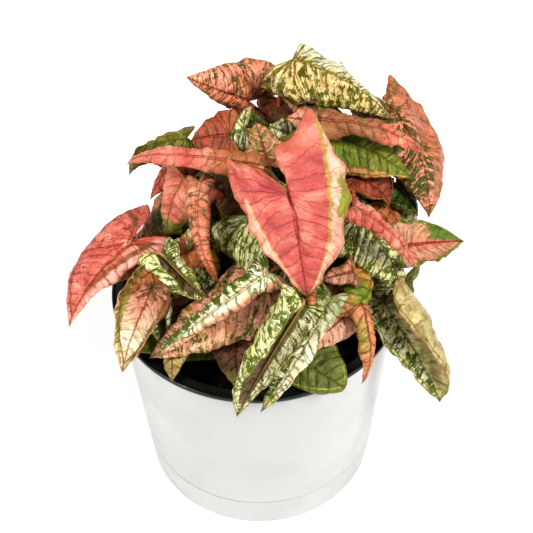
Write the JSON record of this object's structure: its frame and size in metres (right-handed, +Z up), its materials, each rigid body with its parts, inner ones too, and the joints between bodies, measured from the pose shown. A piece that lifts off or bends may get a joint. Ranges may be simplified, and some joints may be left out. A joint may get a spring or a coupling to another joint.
{
  "type": "potted syngonium",
  "caption": "House plant with arrow-shaped, wilted and rolled leaves in pink, cream and green, on thin stalks in a nursery pot of soil inside a white tapered pot.",
  "frame": {"origin": "centre of the white pot's flat underside", "axes": "+Z up along the pot's axis, -Y to the plant's front, +X to its right"},
  "size_m": [0.1979, 0.1608, 0.2462],
  "materials": {
    "white_plastic": "satin white plastic",
    "dark_plastic": "dark green plastic",
    "soil": "moist peat-based potting soil, nearly black",
    "pink_foliage": "pink variegated leaves, satin",
    "cream_foliage": "cream and green variegated leaves, satin",
    "green_foliage": "green variegated leaves, satin"
  },
  "bodies": {
    "root": {"outer_pot": "white_plastic", "nursery_pot": "dark_plastic", "soil": "soil", "leafy_stem_back_left": "pink_foliage", "leafy_stem_back_right": "cream_foliage", "leafy_stem_left": "pink_foliage", "leafy_stem_front_left": "cream_foliage", "leafy_stem_centre": "pink_foliage", "leafy_stem_front": "cream_foliage", "leafy_stem_front_right": "pink_foliage", "leafy_stem_right": "green_foliage"}
  },
  "joints": []
}
